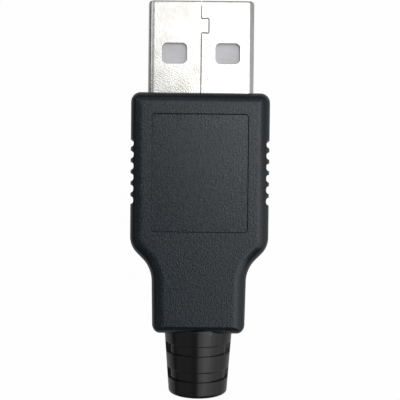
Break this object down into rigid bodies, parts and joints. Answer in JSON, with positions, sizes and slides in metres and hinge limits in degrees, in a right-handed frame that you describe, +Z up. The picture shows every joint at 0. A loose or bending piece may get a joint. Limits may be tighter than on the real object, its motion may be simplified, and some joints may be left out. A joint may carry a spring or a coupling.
{
  "type": "usb-a plug",
  "caption": "Rewirable cable plug: folded metal shell with tongue and contacts, held between two black covers with side grips and a slotted strain relief.",
  "frame": {"origin": "bottom centre of the bounding box: on the back cover's face, under the middle of the plug's length", "axes": "+Y along the plug, out of its mouth; +Z up through its thickness, out of the front cover with the shell's seam; +X to the right when the mouth points away"},
  "size_m": [0.0158, 0.0446, 0.0082],
  "materials": {
    "plated_metal": "bright nickel plate",
    "insulator_plastic": "smooth white",
    "contact_metal": "thin gold plate",
    "cover_plastic": "fine spark-eroded grain, black",
    "soft_plastic": "smooth, slightly glossy, black"
  },
  "bodies": {
    "root": {"plug_shell": "plated_metal", "insulator": "insulator_plastic", "contact_power": "contact_metal", "contact_data_minus": "contact_metal", "contact_data_plus": "contact_metal", "contact_ground": "contact_metal", "front_cover": "cover_plastic", "back_cover": "cover_plastic", "strain_relief": "soft_plastic"}
  },
  "joints": []
}
